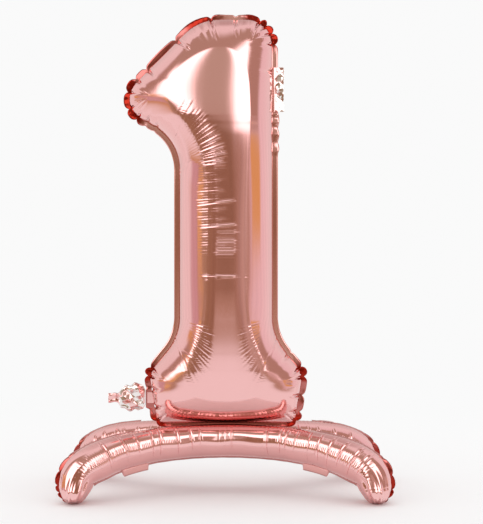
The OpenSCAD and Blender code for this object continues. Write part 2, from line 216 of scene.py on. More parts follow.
# Where the rim is nipped in between two puckers, in the order of the rim, and how deep.
nip_places = np.array([
    (58, 788, 2.6), (70, 781, 2.2), (80, 768, 2.4), (79, 748, 2.0), (79, 700, 1.6), (16, 790, 2.8),
    (-25, 790, 2.8), (-86, 756, 3.0), (-133, 706, 3.0), (-150, 688, 2.2), (-163, 668, 2.2),
    (-163, 640, 2.2), (-150, 622, 2.0), (-135, 612, 1.8), (-120, 604, 1.4), (-125, 205, 2.2),
    (-129, 192, 2.6), (-126, 170, 2.2), (-121, 140, 2.4), (-117, 116, 3.0), (117, 116, 3.0),
    (120, 132, 2.2), (124, 160, 2.4), (129, 190, 2.8), (125, 206, 2.2), (110, 232, 1.6)])
nip_index = np.array([np.hypot(*(number_rim - place[:2]).T).argmin() for place in nip_places])
nip_depth = nip_places[np.argsort(nip_index), 2]
nip_index = np.sort(nip_index)


def nips(index, width):
    """How far the rim is nipped in at each place along it, as a row of narrow bells."""
    total = np.zeros(np.shape(index))
    n = len(number_rim)
    for i, depth in zip(nip_index, nip_depth):
        off = (index - i + n / 2) % n - n / 2
        total += depth * np.exp(-(off * rim_step / width) ** 2)
    return total


def grid_mesh(name, points, closed_rows=False, closed_cols=False, flip=False):
    """A quad sheet through a grid of points given in millimetres."""
    rows, cols = points.shape[:2]
    index = np.arange(rows * cols).reshape(rows, cols)
    if closed_rows:
        index = np.concatenate([index, index[:1]])
    if closed_cols:
        index = np.concatenate([index, index[:, :1]], 1)
    quads = np.stack([index[:-1, :-1], index[:-1, 1:], index[1:, 1:], index[1:, :-1]], -1).reshape(-1, 4)
    if flip:
        quads = quads[:, ::-1]
    mesh = bpy.data.meshes.new(name)
    mesh.vertices.add(rows * cols)
    mesh.vertices.foreach_set("co", (points.reshape(-1, 3) / 1000).astype(np.float32).ravel())
    mesh.loops.add(quads.size)
    mesh.loops.foreach_set("vertex_index", quads.astype(np.int32).ravel())
    mesh.polygons.add(len(quads))
    mesh.polygons.foreach_set("loop_start", np.arange(0, quads.size, 4, dtype=np.int32))
    mesh.update(calc_edges=True)
    mesh.validate()
    mesh.polygons.foreach_set("use_smooth", np.ones(len(mesh.polygons), bool))
    piece = bpy.data.objects.new(name, mesh)
    bpy.context.scene.collection.objects.link(piece)
    return piece


def outward(points):
    """Unit normals of a grid of points, from the cross product of its two directions."""
    n = np.cross(np.gradient(points, axis=1), np.gradient(points, axis=0))
    return n / np.maximum(np.linalg.norm(n, axis=-1, keepdims=True), 1e-9)


class Wire:
    """A shader socket that adds Math nodes when it is used in an expression."""

    def __init__(self, tree, socket):
        self.tree, self.socket = tree, socket

    def node(self, kind, settings=None, inputs=None, output=0):
        """A new node of this kind, its inputs set or linked, given back as one of its outputs."""
        made = self.tree.nodes.new(kind)
        for key, value in (settings or {}).items():
            setattr(made, key, value)
        for key, value in (inputs or {}).items():
            if isinstance(value, Wire):
                self.tree.links.new(value.socket, made.inputs[key])
            else:
                made.inputs[key].default_value = value
        return Wire(self.tree, made.outputs[output])

    def _math(self, operation, a, b):
        return self.node("ShaderNodeMath", {"operation": operation}, {0: a, 1: b})

    def __add__(self, other):
        return self._math("ADD", self, other)

    __radd__ = __add__

    def __mul__(self, other):
        return self._math("MULTIPLY", self, other)

    __rmul__ = __mul__

    def __sub__(self, other):
        return self._math("SUBTRACT", self, other)


def film_finish(name, colour, deep, rough, streak_size=0.00012, tinted_by=""):
    """Metallised film: a mirror with a slight haze, faint lengthwise streaks where the film was
    rolled, and a fine pebble. The tint deepens in patches, or by an attribute of the piece."""
    material = bpy.data.materials.new(name)
    material.use_nodes = True
    tree = material.node_tree
    shader = tree.nodes["Principled BSDF"]
    shader.inputs["Metallic"].default_value = 1.0
    place = Wire(tree, tree.nodes.new("ShaderNodeTexCoord").outputs["Object"])
    long_way = place.node("ShaderNodeMapping", {}, {0: place, 3: (45.0, 45.0, 3.0)})
    streaks = place.node("ShaderNodeTexNoise", {}, {"Vector": long_way, "Scale": 1.0, "Detail": 2.0})
    cloud = place.node("ShaderNodeTexNoise", {}, {"Vector": place, "Scale": 14.0, "Detail": 2.0})
    pebble = place.node("ShaderNodeTexNoise", {}, {"Vector": place, "Scale": 900.0, "Detail": 2.0})
    depth = cloud * 0.9 - 0.2
    if tinted_by:
        depth = place.node("ShaderNodeAttribute", {"attribute_name": tinted_by}, {}, 2)
    tint = place.node("ShaderNodeMix", {"data_type": "RGBA"},
                      {0: depth, 6: (*colour, 1), 7: (*deep, 1)}, 2)
    tree.links.new(tint.socket, shader.inputs["Base Color"])
    haze = cloud * 0.05 + streaks * 0.03 + (rough - 0.04)
    tree.links.new(haze.socket, shader.inputs["Roughness"])
    height = streaks * 1.0 + pebble * 0.02
    bump = place.node("ShaderNodeBump", {}, {"Strength": 1.0, "Distance": streak_size, "Height": height})
    tree.links.new(bump.socket, shader.inputs["Normal"])
    return material


def paint_points(piece, name, values):
    """One number a point, kept on the mesh for its material to read."""
    painted = piece.data.attributes.new(name, "FLOAT", "POINT")
    painted.data.foreach_set("value", np.asarray(values, np.float32).ravel())


rose_film = film_finish("rose_film", (0.87, 0.48, 0.465), (0.84, 0.45, 0.43), 0.11)

number_rows = np.concatenate([
    number_low + 40 * (1 - np.cos(np.linspace(0, math.pi / 2, 56)))[:-1],
    np.linspace(number_low + 40, number_high - 40, 560),
    number_high - 40 * (1 - np.cos(np.linspace(math.pi / 2, 0, 62)))[1:]])
number_turn = np.linspace(0, 1, 143)
number_share = 0.5 * number_turn + 0.25 * (1 - np.cos(math.pi * number_turn))
edge_left = np.interp(number_rows, left_edge[:, 1], left_edge[:, 0])
edge_right = np.interp(number_rows, right_edge[:, 1], right_edge[:, 0])
number_x = edge_left[:, None] + (edge_right - edge_left)[:, None] * number_share
number_z = np.repeat(number_rows[:, None], len(number_share), 1)


def room_for_air(x, z, left, right):
    """Nought at the rim: the product of the distances to both sides, and of those to the top
    and the bottom, taken together as one over the sum of their inverses."""
    sides = np.maximum((x - left) * (right - x), 1e-3)
    ends = np.maximum((z - number_low) * (number_high - z), 1e-3)
    return sides * ends / (sides + ends)


# The depth is worked out on a coarse grid and smoothed, because a mirror shows every step.
coarse_rows = np.linspace(number_low + 1.5, number_high - 1.5, 190)
coarse_columns = 42
coarse_share = (np.arange(coarse_columns) + 0.5) / coarse_columns
coarse_left = np.interp(coarse_rows, left_edge[:, 1], left_edge[:, 0])[:, None]
coarse_right = np.interp(coarse_rows, right_edge[:, 1], right_edge[:, 0])[:, None]
coarse_x = coarse_left + (coarse_right - coarse_left) * coarse_share
coarse_z = np.repeat(coarse_rows[:, None], len(coarse_share), 1)
fullness = air_depth(coarse_x, coarse_z, number_rim) ** 2
fullness /= room_for_air(coarse_x, coarse_z, coarse_left, coarse_right)
coarse_down = (number_rows - coarse_rows[0]) / (coarse_rows[1] - coarse_rows[0])
fullness = between(blurred(fullness, 3, 1), coarse_down, number_share * coarse_columns - 0.5)
fullness = blurred(fullness, 40, 10)
number_depth = np.sqrt(fullness * room_for_air(number_x, number_z, edge_left[:, None], edge_right[:, None]))
# The film cannot stretch, so the wide foot and flag swell little more than the stem does.
free_swell = 72.0
swell = np.maximum(number_depth - free_swell, 0)
number_depth -= 0.72 * swell * swell / (swell + 6)
number_depth *= 1 - 0.11 * smooth(590, 760, number_z)
number_depth *= 1 - 0.12 * (1 - smooth(150, 340, number_z))
# Towards its lower corners the foot stays full, so that its bottom is a straight roll.
from_middle = np.abs(2 * number_share - 1)[None, :]
squarer = np.maximum(1 - from_middle ** 5, 1e-6) / np.maximum(1 - from_middle ** 2, 0.4e-6)
number_depth *= squarer ** (0.36 * (1 - smooth(140, 230, number_z)))
number_depth[0] = number_depth[-1] = 0
number_depth[:, 0] = number_depth[:, -1] = 0
near_rim, rim_away = nearest_rim(number_x, number_z)


def number_skin(face):
    """One film: the inflated depth, pinched in at the nips and raised along its normal by the
    fans, the ripples, the creases and the puckers. face is -1 for the front and 1 for the rear."""
    x, z, away = number_x, number_z, rim_away
    skin = np.stack([x, face * number_depth, z], -1)
    normal = outward(skin) * (1 if face < 0 else -1)
    lift = np.zeros(x.shape)
    lift += fan(x, z, (-120, 534), 2, 66, 3.05, (82, 86), (121, 124), 0.85, 4.0, 5.0)
    lift += fan(x, z, (-120, 534), 18, 72, 2.6, (56, 54), (86, 86), 0.3, 3.0)
    lift += ripples(x, z, -42, -8, 398, 552, 4.4, 0.27, 0.06)
    lift += ripples(x, z, -18, 20, 392, 436, 4.6, 0.5)
    lift += fan(x, z, (-100, 292), -72, -10, 2.8, (82, 42), (120, 76), 0.6, 4.0, 5.0)
    lift += fan(-x, z, (-100, 292), -70, -10, 2.8, (80, 40), (116, 74), 0.6, 4.0, 5.0)
    lift += fan(-x, z, (-96, 286), -104, -76, 4.8, (22, 22), (52, 52), 0.45)
    lift += ripples(x, z, 47, 66, 690, 738, 3.6, 0.42)
    lift += ripples(x, z, 108, 124, 128, 166, 3.8, 0.45, 0.3)
    for start, end, width, depth in [
            ((-84, 587), (-72, 622), 0.9, 0.7), ((-93, 519), (-58, 549), 0.9, 0.8),
            ((-110, 588), (-104, 606), 0.9, 0.5), ((-46, 477), (20, 485), 1.1, 0.45),
            ((-42, 440), (24, 446), 1.1, 0.45), ((-40, 362), (40, 360), 1.1, 0.35),
            ((-36, 355), (10, 362), 0.9, 0.2), ((-24, 782), (-14, 746), 1.3, 1.5),
            ((-30, 784), (-19, 750), 1.0, 1.0), ((14, 784), (17, 750), 1.3, 1.4),
            ((20, 782), (21, 752), 1.0, 0.8), ((54, 780), (42, 752), 1.3, 1.3),
            ((-82, 750), (-58, 730), 1.3, 1.5), ((-78, 754), (-56, 735), 1.0, 0.9),
            ((-129, 702), (-118, 688), 1.3, 1.4), ((-125, 707), (-114, 692), 1.0, 0.9),
            ((-88, 262), (-70, 224), 1.0, 0.8), ((88, 262), (72, 226), 1.0, 0.8),
            ((-92, 250), (-50, 226), 1.0, 0.5), ((92, 262), (66, 222), 1.0, 0.6),
            ((-112, 118), (-100, 132), 2.0, 1.6), ((112, 118), (98, 132), 2.0, 1.6)]:
        lift += crease(x, z, start, end, width, depth)
    index = near_rim
    convex = rim_convex[index]
    arc = index * rim_step
    wave = np.sin(arc * 2 * math.pi / 23 + 2 * np.sin(arc * 0.031))
    wave += 0.6 * np.sin(arc * 2 * math.pi / 13.7 + 1.7)
    lift += 0.6 * convex * wave * smooth(0, 6, away) * (1 - smooth(12, 46, away))
    fine = np.abs(np.sin(arc * math.pi / 5.3 + 1.5 * np.sin(arc * 0.09))) - 0.6
    lift += 0.4 * convex * fine * smooth(0, 2, away) * (1 - smooth(5, 14, away))
    along_stem = smooth(10, 34, away) * (1 - smooth(560, 620, z))
    lift += 0.12 * np.sin(x * 0.21 + 0.8 * np.sin(z * 0.011)) * along_stem
    pinch = nips(index, 2.6) * (1 - smooth(0, 26, away))
    lift -= 0.9 * pinch * smooth(0, 3, away)
    skin = skin + normal * lift[..., None]
    inward = nips(index, 3.4) * (1 - smooth(0, 20, away))
    skin[..., 0] -= rim_out[index, 0] * inward
    skin[..., 2] -= rim_out[index, 1] * inward
    skin[..., 1] = face * np.maximum(face * skin[..., 1], 0.15 * (away > 0.01))
    return skin


number_front = grid_mesh("number_front", number_skin(-1), flip=True)
number_rear = grid_mesh("number_rear", number_skin(1))
for piece, node in ((number_front, "number_front_film"), (number_rear, "number_rear_film")):
    piece.data.materials.append(rose_film)
    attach(piece, "number")
    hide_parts(node)

# Number's sealed margin: both films welded flat outside the air, about 10 mm wide. Round the
# outer corners it is drawn into scallops between the nips. Where it is puckered and gathered its
# colour is painted a deeper red: a painted reflection of the film beside it and painted shade in the
# puckers.
margin_film = film_finish("margin_film", (0.84, 0.45, 0.42), (0.33, 0.022, 0.012), 0.12,
                          tinted_by="painted_seam_shade")


def scallops(index):
    """Half sines between one nip and the next, with the number of each scallop."""
    n = len(number_rim)
    slot = np.searchsorted(nip_index, index, side="right") % len(nip_index)
    low = nip_index[slot - 1]
    high = nip_index[slot]
    span = (high - low) % n
    share = ((index - low) % n) / np.maximum(span, 1)
    return np.sin(math.pi * share), slot


margin_index = np.arange(len(number_rim))
margin_sine, margin_slot = scallops(margin_index)
margin_flag = smooth(660, 690, number_rim[:, 1]) * (1 - smooth(-50, -30, number_rim[:, 0]))
margin_foot = 1 - smooth(188, 206, number_rim[:, 1])
margin_tight = np.clip(np.maximum(1.4 * rim_convex, 0.7 * np.maximum(margin_flag, margin_foot)), 0, 1)
margin_gather = smooth(560, 575, number_rim[:, 1]) * (1 - smooth(628, 636, number_rim[:, 1]))
margin_gather *= number_rim[:, 0] > 0
margin_far = film_margin * (0.82 - margin_tight * (0.27 - 0.4 * margin_sine ** 0.5))
margin_far += 2.4 * margin_gather * np.abs(np.sin(margin_index * 0.09 + np.sin(margin_index * 0.05)))
# Beside the filling neck the margin runs out flat to the neck's root.
neck_root_x = -135.6
neck_mid = 154.8
margin_root = bell(neck_mid - 14, neck_mid + 14, 6, number_rim[:, 1]) * (number_rim[:, 0] < 0)
margin_far += margin_root * (number_rim[:, 0] - neck_root_x - 0.6 - margin_far)
margin_wave = margin_tight * 3.2 * margin_sine * np.where(margin_slot % 2, 1, -1)
margin_wave += 0.2 * rim_convex * np.sin(margin_index * rim_step * 2 * math.pi / 9.0)
margin_wave += 1.1 * margin_gather * np.sin(margin_index * 0.31 + 2 * np.sin(margin_index * 0.07))
margin_wave *= 1 - margin_root
margin_nip = nips(margin_index, 3.4) * (1 - margin_root)
margin_across = np.array([(-0.5, -0.2), (0.0, -0.22), (0.35, -0.2), (0.7, -0.18), (1.0, -0.12),
                          (1.0, 0.12), (0.7, 0.18), (0.35, 0.2), (0.0, 0.22), (-0.5, 0.2)])
reach = margin_across[:, 0][None, :] * margin_far[:, None]
reach[:, [0, -1]] = -0.6
bowed = np.clip(margin_across[:, 0], 0, 1)[None, :] ** 1.3 * margin_wave[:, None]
ring = np.stack([
    number_rim[:, :1] + rim_out[:, :1] * (reach - margin_nip[:, None]),
    margin_across[:, 1][None, :] + bowed,
    number_rim[:, 1:] + rim_out[:, 1:] * (reach - margin_nip[:, None])], -1)
number_margin = grid_mesh("number_margin", ring, closed_rows=True, closed_cols=True)
# Painted shade and reflection: how far each point of the margin is painted the deep red, most where it is
# puckered or gathered.
margin_painted_shade = np.clip(margin_tight + 0.12 * margin_gather, 0, 1)
paint_points(number_margin, "painted_seam_shade", np.repeat(margin_painted_shade, ring.shape[1]))
number_margin.data.materials.append(margin_film)
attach(number_margin, "number")
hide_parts("number_seal_margin")

# Legs: two long tubes of the same film, each sealed along the top and the bottom, bowed over
# the middle and pressed together there. The slack on the inside of the bend lies in close
# cross pleats, with a sharper fold every few centimetres.
leg_half = 233.0
leg_rise = 87.0
leg_thin = 26.5
leg_thick = 32.0
foot_up = 29.0
leg_near = 24.6
leg_far = 118.0


def leg_frame(x):
    """Centre, radius, upward and forward unit vectors of the front leg's section at x."""
    share = np.minimum(np.abs(x) / leg_half, 1)
    spread = leg_near + (leg_far - leg_near) * share ** 1.7
    rise = foot_up + (leg_rise - foot_up) * np.maximum(1 - share ** 2.5, 0) ** 0.4
    return np.stack([x, -spread, rise], -1), leg_thin + (leg_thick - leg_thin) * share ** 3


leg_turn = np.linspace(-math.pi / 2, math.pi / 2, 1001)
leg_line, leg_round = leg_frame(leg_half * np.sin(leg_turn))
leg_along = np.gradient(leg_line, axis=0)
leg_along /= np.linalg.norm(leg_along, axis=1)[:, None]
leg_along[0], leg_along[-1] = (0, 0, 1), (0, 0, -1)
cap_steps = 46
cap_turn = np.linspace(0, math.pi / 2, cap_steps + 1)[1:]
cap_low = leg_line[0] - leg_along[0] * (leg_round[0] * np.sin(cap_turn))[:, None]
cap_high = leg_line[-1] + leg_along[-1] * (leg_round[-1] * np.sin(cap_turn))[:, None]
leg_centre = np.concatenate([cap_low[::-1], leg_line, cap_high])
cap_round = leg_round[0] * np.cos(cap_turn)
leg_radius = np.concatenate([cap_round[::-1], leg_round, cap_round])
leg_tangent = np.concatenate([np.repeat(leg_along[:1], cap_steps, 0), leg_along,
                              np.repeat(leg_along[-1:], cap_steps, 0)])
leg_forward = np.array([0, -1.0, 0]) - leg_tangent * -leg_tangent[:, 1:2]
leg_forward /= np.linalg.norm(leg_forward, axis=1)[:, None]
leg_up = np.cross(leg_forward, leg_tangent)
leg_arc = np.concatenate([[0], np.cumsum(np.linalg.norm(np.diff(leg_line, axis=0), axis=1))])
leg_arc = np.concatenate([-leg_round[0] * cap_turn[::-1], leg_arc, leg_arc[-1] + leg_round[-1] * cap_turn])
leg_length = leg_arc[-cap_steps]
leg_folds = np.array([60, 92, 118, 140, 158, 186, 214, 228, 262, 274, 284, 352, 372, 384, 400, 424,
                      446, 462, 486, 506, 524, 552, 574], float)
heel_height = 62.0
heel_shift = 17.0
toe_reach = 10.0


def slant_heel(points, mid):
    """The inside of the bend moved outwards, more towards the floor, so that the foot tapers."""
    heel = np.clip((leg_half + 30 - np.abs(points[..., 0])) / 60, 0, 1)
    heel *= 1 - smooth(0, heel_height, points[..., 2])
    heel *= smooth(leg_length / 2 - 60, leg_length / 2 - 20, mid)
    points[..., 0] += heel_shift * heel * np.sign(points[..., 0])
    return points


def leg_skin(front, seed):
    """Half of a tube round its centre line, from the top seam over one side to the bottom seam,
    with cross pleats on the inside of the bend, folds, and puckers at both seams and ends."""
    angle = np.linspace(0, math.pi, 47)
    arc = leg_arc[:, None] + 0 * angle
    a = angle + 0 * leg_arc[:, None]
    mid = np.abs(arc - leg_length / 2)
    bend = smooth(70, 130, mid) * (1 - smooth(leg_length / 2 - 36, leg_length / 2 + 2, mid))
    u = arc / 3.3 + 0.3 * np.sin(arc * 0.11 + seed) + 0.2 * np.sin(arc * 0.043)
    k = np.floor(u)
    lower = smooth(0.85 + 0.15 * np.sin(k * 2.3), 1.3 + 0.25 * np.sin(k * 1.9), a)
    lower = lower * (1 - 0.5 * smooth(2.5, 3.1, a))
    lift = 0.36 * (0.75 + 0.35 * np.sin(k * 2.9)) * bend * lower * (np.abs(np.sin(math.pi * u)) - 0.6)
    for n, place in enumerate(leg_folds):
        at = place + 2.0 * math.sin(n * 2.7 + seed)
        skew = 2.2 * math.sin(n * 1.3 + seed) * (a - 1.6)
        off = (arc - at - skew) / 1.15
        reach = smooth(0.25, 0.7, a) * (1 - smooth(2.0 + 0.5 * math.sin(n * 3.1), 2.7, a))
        lift += (0.75 + 0.3 * math.sin(n * 5.3)) * reach * (
            -np.exp(-off * off) + 0.5 * np.exp(-(np.abs(off) - 2.0) ** 2))
    seam = np.minimum(a, math.pi - a)
    at_seam = np.exp(-(seam / 0.34) ** 2) * smooth(0, 0.08, seam)
    lift += 0.5 * (np.abs(np.sin(arc * math.pi / 7.1 + seed)) - 0.6) * at_seam
    tip = smooth(leg_length / 2 - 30, leg_length / 2 + 16, mid)
    lift += 1.2 * tip * (np.sin(a * 11 + seed) + 0.6 * np.sin(a * 19 + 2)) * smooth(0, 0.2, seam) * (
        1 - smooth(leg_length / 2 + 32, leg_length / 2 + 46, mid))
    lift += 0.5 * np.sin(arc * 0.09 + seed) * np.sin(2 * a)
    radius = leg_radius[:, None] + lift * np.clip(leg_radius[:, None] / 14, 0, 1)
    side = 1 if front else -1
    skin = leg_centre[:, None] + radius[..., None] * (
        np.cos(a)[..., None] * leg_up[:, None] + side * np.sin(a)[..., None] * leg_forward[:, None])
    ahead = np.clip((leg_centre[:, None, 1] - skin[..., 1]) / 30, 0, 1)
    toe = toe_reach * (1 - smooth(10, 46, skin[..., 2])) * smooth(0, 8, skin[..., 2])
    skin[..., 1] -= toe * ahead * smooth(leg_length / 2 - 24, leg_length / 2 + 6, mid)
    skin = slant_heel(skin, mid)
    skin[..., 1] = np.minimum(skin[..., 1], -0.62)
    skin[..., 2] = np.maximum(skin[..., 2], 0.0)
    return skin


def about_face(points):
    """Turned half a turn about the upright axis."""
    return points * np.array([-1.0, -1.0, 1.0])


for name, node, front, turned, seed in (
        ("front_leg_front", "front_leg_front_film", True, False, 0.0),
        ("front_leg_rear", "front_leg_rear_film", False, False, 1.1),
        ("rear_leg_front", "rear_leg_front_film", False, True, 2.3),
        ("rear_leg_rear", "rear_leg_rear_film", True, True, 3.6)):
    skin = leg_skin(front, seed)
    piece = grid_mesh(name, about_face(skin) if turned else skin, flip=not front)
    piece.data.materials.append(rose_film)
    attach(piece, "base")
    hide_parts(node)

# Legs' sealed margins: the welded edge of each tube, trimmed off under the number, gathered
# round the feet, folded against the tube between them, and left as a short flap under each
# side of the arch.
bare_half = 144.0


def leg_margin(chosen, side, seed, fold):
    """A ribbon from the seam outwards, waved out of its plane at the tips and folded flat
    against the tube between them, for the chosen stretch of a leg."""
    arc = leg_arc[chosen]
    tip = smooth(leg_length / 2 - 40, leg_length / 2 - 4, np.abs(arc - leg_length / 2))
    scallop = np.abs(np.sin(arc * math.pi / 14 + seed + 0.8 * np.sin(arc * 0.05)))
    flap = bell(131, 172, 3, np.abs(leg_centre[chosen, 0])) * (side < 0)
    far = film_margin * (0.46 + tip * 0.26 * scallop ** 0.5 + 0.7 * flap)
    wave = (0.15 + 1.5 * tip) * np.sin(arc * math.pi / 14 + seed + 0.8 * np.sin(arc * 0.05))
    across = margin_across
    out = across[:, 0][None, :] * far[:, None]
    out[:, [0, -1]] = -0.5
    bow = np.clip(across[:, 0], 0, 1)[None, :] * wave[:, None] + across[:, 1][None, :]
    nip = 1.6 * (1 - scallop) ** 2 * tip
    lay = fold * math.radians(72) * ((1 - tip) * (1 - 0.75 * flap))[:, None]
    lay = (lay * smooth(-0.1, 0.25, across[:, 0]))[..., None]
    away_from_tube = side * leg_up[chosen][:, None]
    ahead = leg_forward[chosen][:, None]
    points = leg_centre[chosen][:, None] + away_from_tube * (leg_radius[chosen] - nip)[:, None, None]
    points = points + (away_from_tube * np.cos(lay) + ahead * np.sin(lay)) * out[..., None]
    points = points + (ahead * np.cos(lay) - away_from_tube * np.sin(lay)) * bow[..., None]
    points = slant_heel(points, np.abs(arc - leg_length / 2)[:, None])
    # The second value is painted shade and reflection: how far the seam is painted deep red, most at the
    # tips and less on the flap.
    return points, np.repeat(0.4 + 0.6 * tip - 0.35 * flap, across.shape[0])


def around_tip(points):
    """Where the ribbon would go below the floor it lies on it and is turned forward."""
    below = np.maximum(0.25 - points[..., 2], 0)
    points[..., 2] = np.maximum(points[..., 2], 0.25 + 0.1 * (np.arange(points.shape[1]) > 4))
    points[..., 1] -= below * 0.9
    return points


every = np.arange(len(leg_centre))
on_left = every[leg_centre[:, 0] < -bare_half]
on_right = every[leg_centre[:, 0] > bare_half]
low_stretch = every[(leg_arc > 26) & (leg_arc < leg_length - 26)]
for leg, turned, seed in (("front_leg", False, 0.3), ("rear_leg", True, 1.9)):
    stretches = []
    for chosen, side in ((on_left, 1), (on_right, 1), (low_stretch, -1)):
        fold = (1 if turned else -1) * (1.0 if side > 0 else 0.6)
        # The second value is the seam's painted shade and reflection, read by the margin film as a deeper
        # red.
        ribbon, painted_seam_shade = leg_margin(chosen, side, seed, fold)
        ribbon = about_face(around_tip(ribbon)) if turned else around_tip(ribbon)
        stretches.append(grid_mesh(leg + "_margin", ribbon, closed_cols=True, flip=side > 0))
        paint_points(stretches[-1], "painted_seam_shade", painted_seam_shade)
    with bpy.context.temp_override(active_object=stretches[0], selected_editable_objects=stretches):
        bpy.ops.object.join()
    margin = stretches[0]
    margin.data.materials.append(margin_film)
    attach(margin, "base")
    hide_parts(leg + "_seal_margin")

# Filling neck of the number: a short sleeve of the same film, left out of the margin at the
# lower left. It has been creased and folded by the pump, so it is crumpled like paper.
silver_film = film_finish("silver_film", (0.84, 0.76, 0.74), (0.87, 0.50, 0.48), 0.09, 0.00008,
                          "rose_side")


def crumple(u, v, seed, size):
    """Sharp flat facets, as in crushed paper: a sum of triangle waves, each along a direction of
    its own, so that straight ridges and valleys cross at all angles. It runs from -1 to 1."""
    rng = np.random.default_rng(seed)
    total = np.zeros(np.broadcast(u, v).shape)
    heights = (0.44, 0.34, 0.15, 0.07)
    for n, height in enumerate(heights):
        turn = math.pi * (n + rng.uniform(0, 0.9)) / len(heights)
        pitch = size * rng.uniform(0.75, 1.25) * (1.0, 0.85, 0.6, 0.36)[n]
        phase = (u * math.cos(turn) + v * math.sin(turn)) / pitch + rng.uniform(0, 1)
        total = total + height * (4 * np.abs(phase - np.floor(phase + 0.5)) - 1)
    return total


neck_length = 62.0


def neck_skin(face, seed):
    """One film of the neck: a wide crushed sleeve that narrows to a short stub at its mouth, and
    how far its rose side shows at each point."""
    s = np.linspace(0, 1, 150)[:, None]
    q = np.linspace(-1, 1, 110)[None, :]
    half = np.interp(s, [0, 0.06, 0.2, 0.5, 0.67, 0.74, 0.9, 1], [13, 20, 23.5, 22, 15, 8, 8, 8.5])
    half = half * (1 + 0.09 * np.sin(s * 23 + 1.5 * np.sign(q)) * smooth(0.1, 0.3, s))
    x = neck_root_x - neck_length * s + 0 * q
    z = neck_mid + half * q * 0.97 + 2.0 * np.sin(s * 7) * (1 - s)
    bow = np.interp(s, [0, 0.04, 0.18, 0.4, 0.6, 0.75, 1], [0.5, 0.7, 4.6, 5.4, 4.0, 3.0, 3.0])
    bow = bow * np.sqrt(np.maximum(1 - q ** 4, 0))
    rough = crumple(x - neck_root_x, z - neck_mid, seed, 30.0) * 4.2
    y = face * np.clip(bow + rough * np.minimum(1, (1 - q ** 2) * 4) * smooth(0.03, 0.17, s), 0.3, 9.4)
    rose_side = smooth(0.68, 0.73, s) + 0.75 * (crumple(x, z, seed + 1, 26.0) > 0.05)
    return np.stack([x, y + 0 * x, z + 0 * x], -1), rose_side


for name, face, seed in (("neck_front", -1, 5), ("neck_rear", 1, 9)):
    skin, turned_out = neck_skin(face, seed)
    piece = grid_mesh(name, skin, flip=face < 0)
    paint_points(piece, "rose_side", np.clip(turned_out, 0, 1))
    piece.data.materials.append(silver_film)
    thick = piece.modifiers.new("film", "SOLIDIFY")
    thick.thickness = 0.0002
    thick.offset = 0
    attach(piece, "neck")
    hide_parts(name + "_film")

# Hanging tab: a narrow strip of silver-backed film folded along the right edge, with a small
# hole for a ribbon. It is as crumpled as the neck.
tab_low = 634.5
tab_high = 709.5
tab_side = 80.1
tab_reach = 17.4
tab_y = -2.9
hole_up = 690.75
hole_side = 88.3


def tab_strip():
    """A flat strip crushed into facets, with a ragged outer edge, its grid opened to a circle
    round the ribbon hole, and how far its rose side shows at each point."""
    v = np.linspace(0, 1, 151)[:, None]
    u = np.linspace(0, 1, 51)[None, :]
    ragged = 1.8 * np.abs(crumple(v * 75, 0 * v, 3, 16.0)) + 1.2 * v * (1 - v)
    x = tab_side + (tab_reach - ragged) * u + 0 * v
    z = tab_low + (tab_high - tab_low) * v + 0 * u
    dx, dz = x - hole_side, z - hole_up
    away = np.maximum(np.hypot(dx, dz), 1e-6)
    push = 2.05 * np.exp(-((away / 4.2) ** 2)) / away
    x, z = x + dx * push * (away < 9), z + dz * push * (away < 9)
    away = np.hypot(x - hole_side, z - hole_up)
    y = tab_y - 0.6 + 2.5 * crumple(x - 88, z - 672, 21, 24.0) * smooth(0, 0.3, u) * smooth(2.2, 7, away)
    y = np.clip(y, -3.1 - 0.15 * (x - tab_side), -0.9)
    rose_side = 1 - smooth(4, 8, x - tab_side) + 0.6 * (crumple(x, z, 8, 20.0) > 0.1)
    return np.stack([x, y, z], -1), rose_side


strip, turned_out = tab_strip()
hanging = grid_mesh("hanging_tab_strip", strip)
paint_points(hanging, "rose_side", np.clip(turned_out, 0, 1))
hanging.data.materials.append(silver_film)
thick = hanging.modifiers.new("film", "SOLIDIFY")
thick.thickness = 0.0003
thick.offset = 0
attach(hanging, "tab")
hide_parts("hanging_tab")

# Small inner pieces: the strip that hangs the number on the weld between the legs, the clear
# valve sleeves, and the neck of the base, which lies over the back of the rear leg.
clear_film = bpy.data.materials.new("clear_film")
clear_film.use_nodes = True
clear_shader = clear_film.node_tree.nodes["Principled BSDF"]
clear_shader.inputs["Base Color"].default_value = (0.86, 0.90, 0.93, 1)
clear_shader.inputs["Roughness"].default_value = 0.12
clear_shader.inputs["Transmission Weight"].default_value = 0.8
for node, finish in (("number_hanger_strip", rose_film), ("leg_tie_weld", rose_film),
                     ("number_valve_front_film", rose_film), ("number_valve_rear_film", rose_film),
                     ("base_valve_front_film", clear_film), ("base_valve_rear_film", clear_film),
                     ("base_neck_upper_film", rose_film), ("base_neck_lower_film", rose_film)):
    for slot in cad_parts[node].material_slots:
        slot.material = finish

# Setting: a white floor and backdrop under even light, and round the front, seen only by the
# film's mirror, a dim warm room with two tall soft windows and a gold edge on either side.
world = bpy.data.worlds.new("studio")
bpy.context.scene.world = world
world.use_nodes = True
world.node_tree.nodes["Background"].inputs["Color"].default_value = (1.0, 1.0, 1.0, 1)
world.node_tree.nodes["Background"].inputs["Strength"].default_value = 0.955


def glowing(name, points, colours):
    """A sheet that glows with a colour of its own at each point, for the mirror to see."""
    piece = grid_mesh(name, points)
    colours = np.concatenate([colours, np.ones(colours.shape[:2] + (1,))], -1)
    painted = piece.data.attributes.new("glow", "FLOAT_COLOR", "POINT")
    painted.data.foreach_set("color", colours.astype(np.float32).ravel())
    paint = bpy.data.materials.new(name)
    paint.use_nodes = True
    tree = paint.node_tree
    tree.nodes.clear()
    glow = Wire(tree, None).node("ShaderNodeAttribute", {"attribute_name": "glow"})
    light = glow.node("ShaderNodeEmission", {}, {"Color": glow, "Strength": 1.0})
    tree.links.new(light.socket, tree.nodes.new("ShaderNodeOutputMaterial").inputs[0])
    piece.data.materials.append(paint)
    piece.visible_camera = False
    piece.visible_diffuse = False
    piece.visible_shadow = False
    return piece


